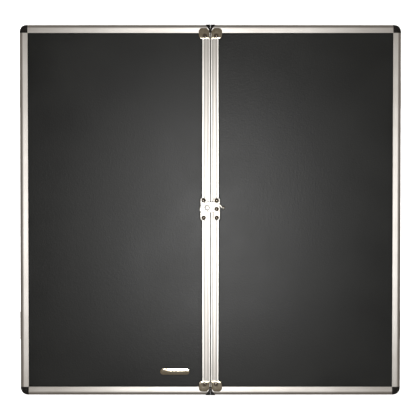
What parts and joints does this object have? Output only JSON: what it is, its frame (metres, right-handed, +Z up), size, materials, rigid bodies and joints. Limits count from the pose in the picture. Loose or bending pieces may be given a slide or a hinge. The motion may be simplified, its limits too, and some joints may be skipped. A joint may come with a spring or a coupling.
{
  "type": "dart board cabinet",
  "caption": "Shallow square wall cabinet for a round dart board, with black boards in aluminium edging, side-hinged tray doors and a swing latch.",
  "frame": {"origin": "on the underside of the closed cabinet, at the split between the doors and half way through its depth", "axes": "+Z up, the doors face -Y, +X to the right seen from the front; +X along the width and +Y through the depth"},
  "size_m": [0.5512, 0.1058, 0.525],
  "materials": {
    "black_board": "black pebble-grain laminate on fibreboard",
    "satin_aluminium": "satin anodised extrusion",
    "black_plastic": "moulded, glossy",
    "chrome_hardware": "bright chrome plate on pressed steel",
    "bright_rivet": "bright nickel plate",
    "nickel_hinge": "nickel plate, lightly brushed",
    "bracket_steel": "black powder coat",
    "score_sheet": "matt writing surface",
    "rack_plastic": "moulded, fine texture",
    "rubber_foot": "matt"
  },
  "bodies": {
    "carcass": {"back_panel": "black_board", "back_rails": "satin_aluminium", "back_stiles": "satin_aluminium", "board_bracket": "bracket_steel", "bottom_wall": "black_board", "bracket_screws": "bright_rivet", "carcass_corner_caps": "black_plastic", "carcass_corner_edges": "satin_aluminium", "carcass_hinge_leaves": "nickel_hinge", "carcass_hinge_rivets": "bright_rivet", "carcass_rim_trims": "satin_aluminium", "hinge_pins": "bright_rivet", "left_wall": "black_board", "right_wall": "black_board", "top_wall": "black_board", "wall_bumpers": "rubber_foot"},
    "left_door": {"badge": "chrome_hardware", "keeper_plate": "chrome_hardware", "keeper_stud": "bright_rivet", "left_door_centre_blocks": "black_plastic", "left_door_centre_stile": "satin_aluminium", "left_door_corner_caps": "black_plastic", "left_door_corner_edges": "satin_aluminium", "left_door_corner_plates": "chrome_hardware", "left_door_corner_rivets": "bright_rivet", "left_door_dart_rack": "rack_plastic", "left_door_end_walls": "black_board", "left_door_free_wall": "black_board", "left_door_hinge_leaves": "nickel_hinge", "left_door_hinge_rivets": "bright_rivet", "left_door_hinge_stile": "satin_aluminium", "left_door_hinge_wall": "black_board", "left_door_panel": "black_board", "left_door_rails": "satin_aluminium", "left_door_rim_trims": "satin_aluminium", "left_door_scoreboard": "score_sheet", "left_latch_rivets": "bright_rivet"},
    "right_door": {"latch_base_plate": "chrome_hardware", "latch_pivot": "bright_rivet", "right_door_centre_blocks": "black_plastic", "right_door_centre_stile": "satin_aluminium", "right_door_corner_caps": "black_plastic", "right_door_corner_edges": "satin_aluminium", "right_door_corner_plates": "chrome_hardware", "right_door_corner_rivets": "bright_rivet", "right_door_dart_rack": "rack_plastic", "right_door_end_walls": "black_board", "right_door_free_wall": "black_board", "right_door_hinge_leaves": "nickel_hinge", "right_door_hinge_rivets": "bright_rivet", "right_door_hinge_stile": "satin_aluminium", "right_door_hinge_wall": "black_board", "right_door_panel": "black_board", "right_door_rails": "satin_aluminium", "right_door_rim_trims": "satin_aluminium", "right_door_scoreboard": "score_sheet", "right_latch_rivets": "bright_rivet"},
    "latch_hook": {"latch_hook": "chrome_hardware"}
  },
  "joints": [
    {"name": "left_door_hinge", "type": "hinge", "parent": "carcass", "child": "left_door", "pos_m": [-0.273, -0.013, 0.2625], "axis": [0, 0, -1], "range_deg": [0, 180]},
    {"name": "right_door_hinge", "type": "hinge", "parent": "carcass", "child": "right_door", "pos_m": [0.273, -0.013, 0.2625], "axis": [0, 0, 1], "range_deg": [0, 180]},
    {"name": "latch_hook_turn", "type": "hinge", "parent": "right_door", "child": "latch_hook", "pos_m": [0.0089, -0.0518, 0.2647], "axis": [0, 1, 0], "range_deg": [0, 75]}
  ]
}
